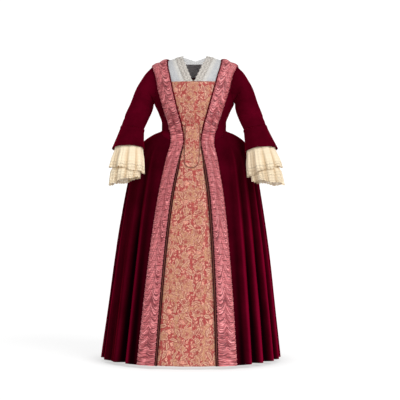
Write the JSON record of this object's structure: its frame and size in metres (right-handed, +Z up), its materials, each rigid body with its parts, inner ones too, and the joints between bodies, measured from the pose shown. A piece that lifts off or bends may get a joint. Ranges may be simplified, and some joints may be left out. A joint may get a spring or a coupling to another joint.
{
  "type": "court dress",
  "caption": "Open velvet court gown with ruched satin robings, floral brocade stomacher and petticoat, net tucker and lace cuff flounces, hollow as worn.",
  "frame": {"origin": "midway between the shoulders at their height, where the wearer carries the gown", "axes": "+Z up, the front of the gown faces -Y, +X to the right of someone looking at the front"},
  "size_m": [0.8439, 0.8027, 1.393],
  "materials": {
    "velvet": "burgundy silk-pile velvet",
    "satin": "salmon-pink satin, ruched",
    "brocade": "coral brocade with gold-ivory flowers",
    "lace": "cream lace",
    "net": "fine white net",
    "braid": "dark narrow braid"
  },
  "bodies": {
    "root": {"bodice_front_left": "velvet", "bodice_front_right": "velvet", "bodice_back_left": "velvet", "bodice_back_right": "velvet", "overskirt_left": "velvet", "overskirt_right": "velvet", "overskirt_back": "velvet", "sleeve_left": "velvet", "sleeve_right": "velvet", "cuff_left": "velvet", "cuff_right": "velvet", "robing_bodice_left": "satin", "robing_bodice_right": "satin", "robing_skirt_left": "satin", "robing_skirt_right": "satin", "robing_neck": "satin", "stomacher": "brocade", "stomacher_tab": "brocade", "petticoat_front": "brocade", "petticoat_back": "brocade", "flounce_upper_left": "lace", "flounce_upper_right": "lace", "flounce_lower_left": "lace", "flounce_lower_right": "lace", "tucker_lace_left": "lace", "tucker_lace_right": "lace", "tucker_left": "net", "tucker_right": "net", "tucker_back": "net", "skirt_braid_left": "braid", "skirt_braid_right": "braid"}
  },
  "joints": []
}
